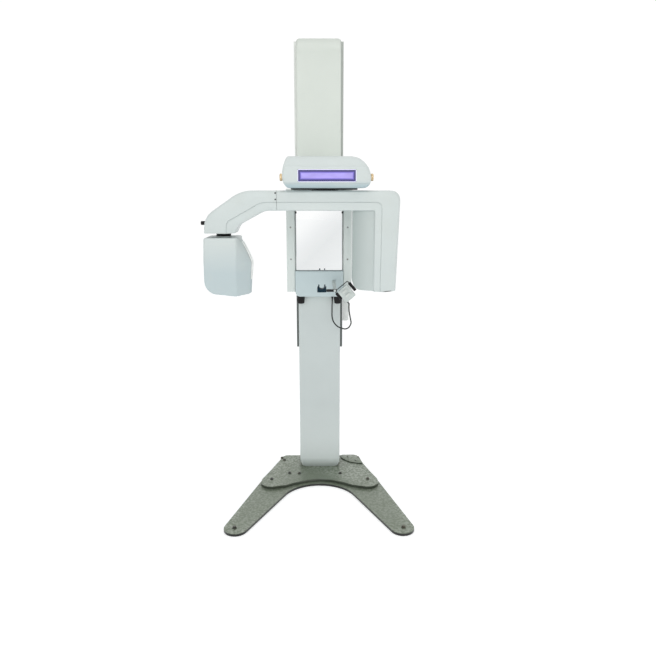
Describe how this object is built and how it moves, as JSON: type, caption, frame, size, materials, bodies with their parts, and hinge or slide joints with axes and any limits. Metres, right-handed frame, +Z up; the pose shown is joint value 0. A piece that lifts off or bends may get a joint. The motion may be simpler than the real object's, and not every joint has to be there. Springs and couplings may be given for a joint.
{
  "type": "panoramic dental x-ray machine",
  "caption": "Column-mounted panoramic dental X-ray machine: lifting carriage with mirror, console and chin rest, overhead head, and a rotating arm with tube head and detector.",
  "frame": {"origin": "on the floor, under the middle of the column", "axes": "+Z up along the column; -Y is the patient's side, where the legs point; +X to the right seen from the patient's side, towards the detector"},
  "size_m": [0.9733, 0.813, 2.28],
  "materials": {
    "column_paint": "satin",
    "housing_plastic": "satin",
    "support_paint": "satin",
    "hammertone_paint": "hammertone",
    "zinc_steel": "satin",
    "rail_paint": "satin",
    "aluminium": "satin",
    "cast_alloy": "matte",
    "tank_paint": "matte",
    "black_plastic": "matte",
    "grey_plastic": "satin",
    "keypad_plastic": "matte",
    "chin_plastic": "gloss",
    "brass": "satin",
    "mirror_glass": "polished",
    "lamp_window": "lit violet diffuser",
    "tube_glass": "clear",
    "rubber": "matte",
    "lead_jacket": "matte"
  },
  "bodies": {
    "stand": {"base_lower_plate": "hammertone_paint", "base_upper_plate": "hammertone_paint", "tip_bolt_left": "zinc_steel", "tip_bolt_right": "zinc_steel", "column_channel": "cast_alloy", "column_front_cover": "column_paint", "column_rear_cover": "column_paint", "column_top_cap": "column_paint", "guide_rail_left": "rail_paint", "guide_rail_right": "rail_paint", "lift_actuator": "aluminium", "lift_motor": "black_plastic", "power_supply": "aluminium", "mains_inlet": "black_plastic"},
    "carriage": {"carriage_frame": "cast_alloy", "lift_yoke": "zinc_steel", "lift_rod": "zinc_steel", "guide_shoe_left": "black_plastic", "guide_shoe_right": "black_plastic", "side_cover_left": "column_paint", "side_cover_right": "column_paint", "mirror_tray": "grey_plastic", "mirror": "mirror_glass", "console_cover": "column_paint", "wiring_guard": "grey_plastic", "head_upper_cover": "housing_plastic", "head_lower_cover": "housing_plastic", "head_window": "lamp_window", "head_beam": "cast_alloy", "bearing_ring": "zinc_steel", "rotation_motor": "black_plastic", "chin_support": "support_paint", "pad_body": "keypad_plastic", "pad_bracket": "grey_plastic", "pad_bail": "black_plastic", "pad_lead": "lead_jacket", "lead_relief_console": "rubber", "lead_relief_pad": "rubber"},
    "arm": {"arm_front_cover": "housing_plastic", "arm_rear_cover": "housing_plastic", "tube_arm_cover": "housing_plastic", "arm_frame": "cast_alloy", "slewing_hub": "cast_alloy", "detector_panel": "aluminium"},
    "tube_head": {"tube_front_cover": "housing_plastic", "tube_rear_cover": "housing_plastic", "swivel_collar": "black_plastic", "high_voltage_tank": "tank_paint", "xray_tube": "tube_glass", "collimator_plate": "tank_paint"},
    "drive_wheel": {"drive_wheel": "rubber"},
    "lock_knob": {"swivel_lock_knob": "black_plastic"},
    "side_knob_left": {"side_knob_left": "brass"},
    "side_knob_right": {"side_knob_right": "brass"},
    "console_knob_left": {"console_knob_left": "black_plastic"},
    "console_knob_right": {"console_knob_right": "black_plastic"},
    "chin_rest": {"chin_bar": "black_plastic", "chin_cup": "chin_plastic"},
    "pad_key_upper": {"pad_key_upper": "keypad_plastic"},
    "pad_key_lower": {"pad_key_lower": "keypad_plastic"}
  },
  "joints": [
    {"name": "carriage_lift", "type": "slide", "parent": "stand", "child": "carriage", "axis": [0, 0, 1], "range_m": [-0.25, 0.5]},
    {"name": "arm_rotation", "type": "hinge", "parent": "carriage", "child": "arm", "pos_m": [0.03, -0.5, 1.558], "axis": [0, 0, 1], "range_deg": [-15, 195]},
    {"name": "drive_wheel_spin", "type": "hinge", "parent": "carriage", "child": "drive_wheel", "pos_m": [0.03, -0.4146, 1.646], "axis": [0, 0, 1], "range_deg": [-790, 70]},
    {"name": "tube_head_swivel", "type": "hinge", "parent": "arm", "child": "tube_head", "pos_m": [-0.4255, -0.5, 1.3552], "axis": [0, 0, 1], "range_deg": [-10, 10]},
    {"name": "lock_knob_turn", "type": "hinge", "parent": "arm", "child": "lock_knob", "pos_m": [-0.5024, -0.5, 1.4155], "axis": [-1, 0, 0], "range_deg": [-30, 180]},
    {"name": "side_knob_left_turn", "type": "hinge", "parent": "carriage", "child": "side_knob_left", "pos_m": [-0.153, -0.582, 1.613], "axis": [-1, 0, 0], "range_deg": [-140, 140]},
    {"name": "side_knob_right_turn", "type": "hinge", "parent": "carriage", "child": "side_knob_right", "pos_m": [0.2262, -0.582, 1.613], "axis": [1, 0, 0], "range_deg": [-140, 140]},
    {"name": "console_knob_left_turn", "type": "hinge", "parent": "carriage", "child": "console_knob_left", "pos_m": [-0.0972, -0.1065, 1], "axis": [0, 0, 1], "range_deg": [-135, 135]},
    {"name": "console_knob_right_turn", "type": "hinge", "parent": "carriage", "child": "console_knob_right", "pos_m": [0.0972, -0.1065, 1], "axis": [0, 0, 1], "range_deg": [-135, 135]},
    {"name": "chin_rest_swing", "type": "hinge", "parent": "carriage", "child": "chin_rest", "pos_m": [0.076, -0.41, 1.095], "axis": [0, 1, 0], "range_deg": [-95, 0]},
    {"name": "pad_key_upper_press", "type": "slide", "parent": "carriage", "child": "pad_key_upper", "axis": [0, 1, 0], "range_m": [0, 0.0015], "stiffness_N_per_m": 300},
    {"name": "pad_key_lower_press", "type": "slide", "parent": "carriage", "child": "pad_key_lower", "axis": [0, 1, 0], "range_m": [0, 0.0015], "stiffness_N_per_m": 300}
  ],
  "couplings": [
    {"joint": "drive_wheel_spin", "follows": "arm_rotation", "ratio": -4}
  ]
}
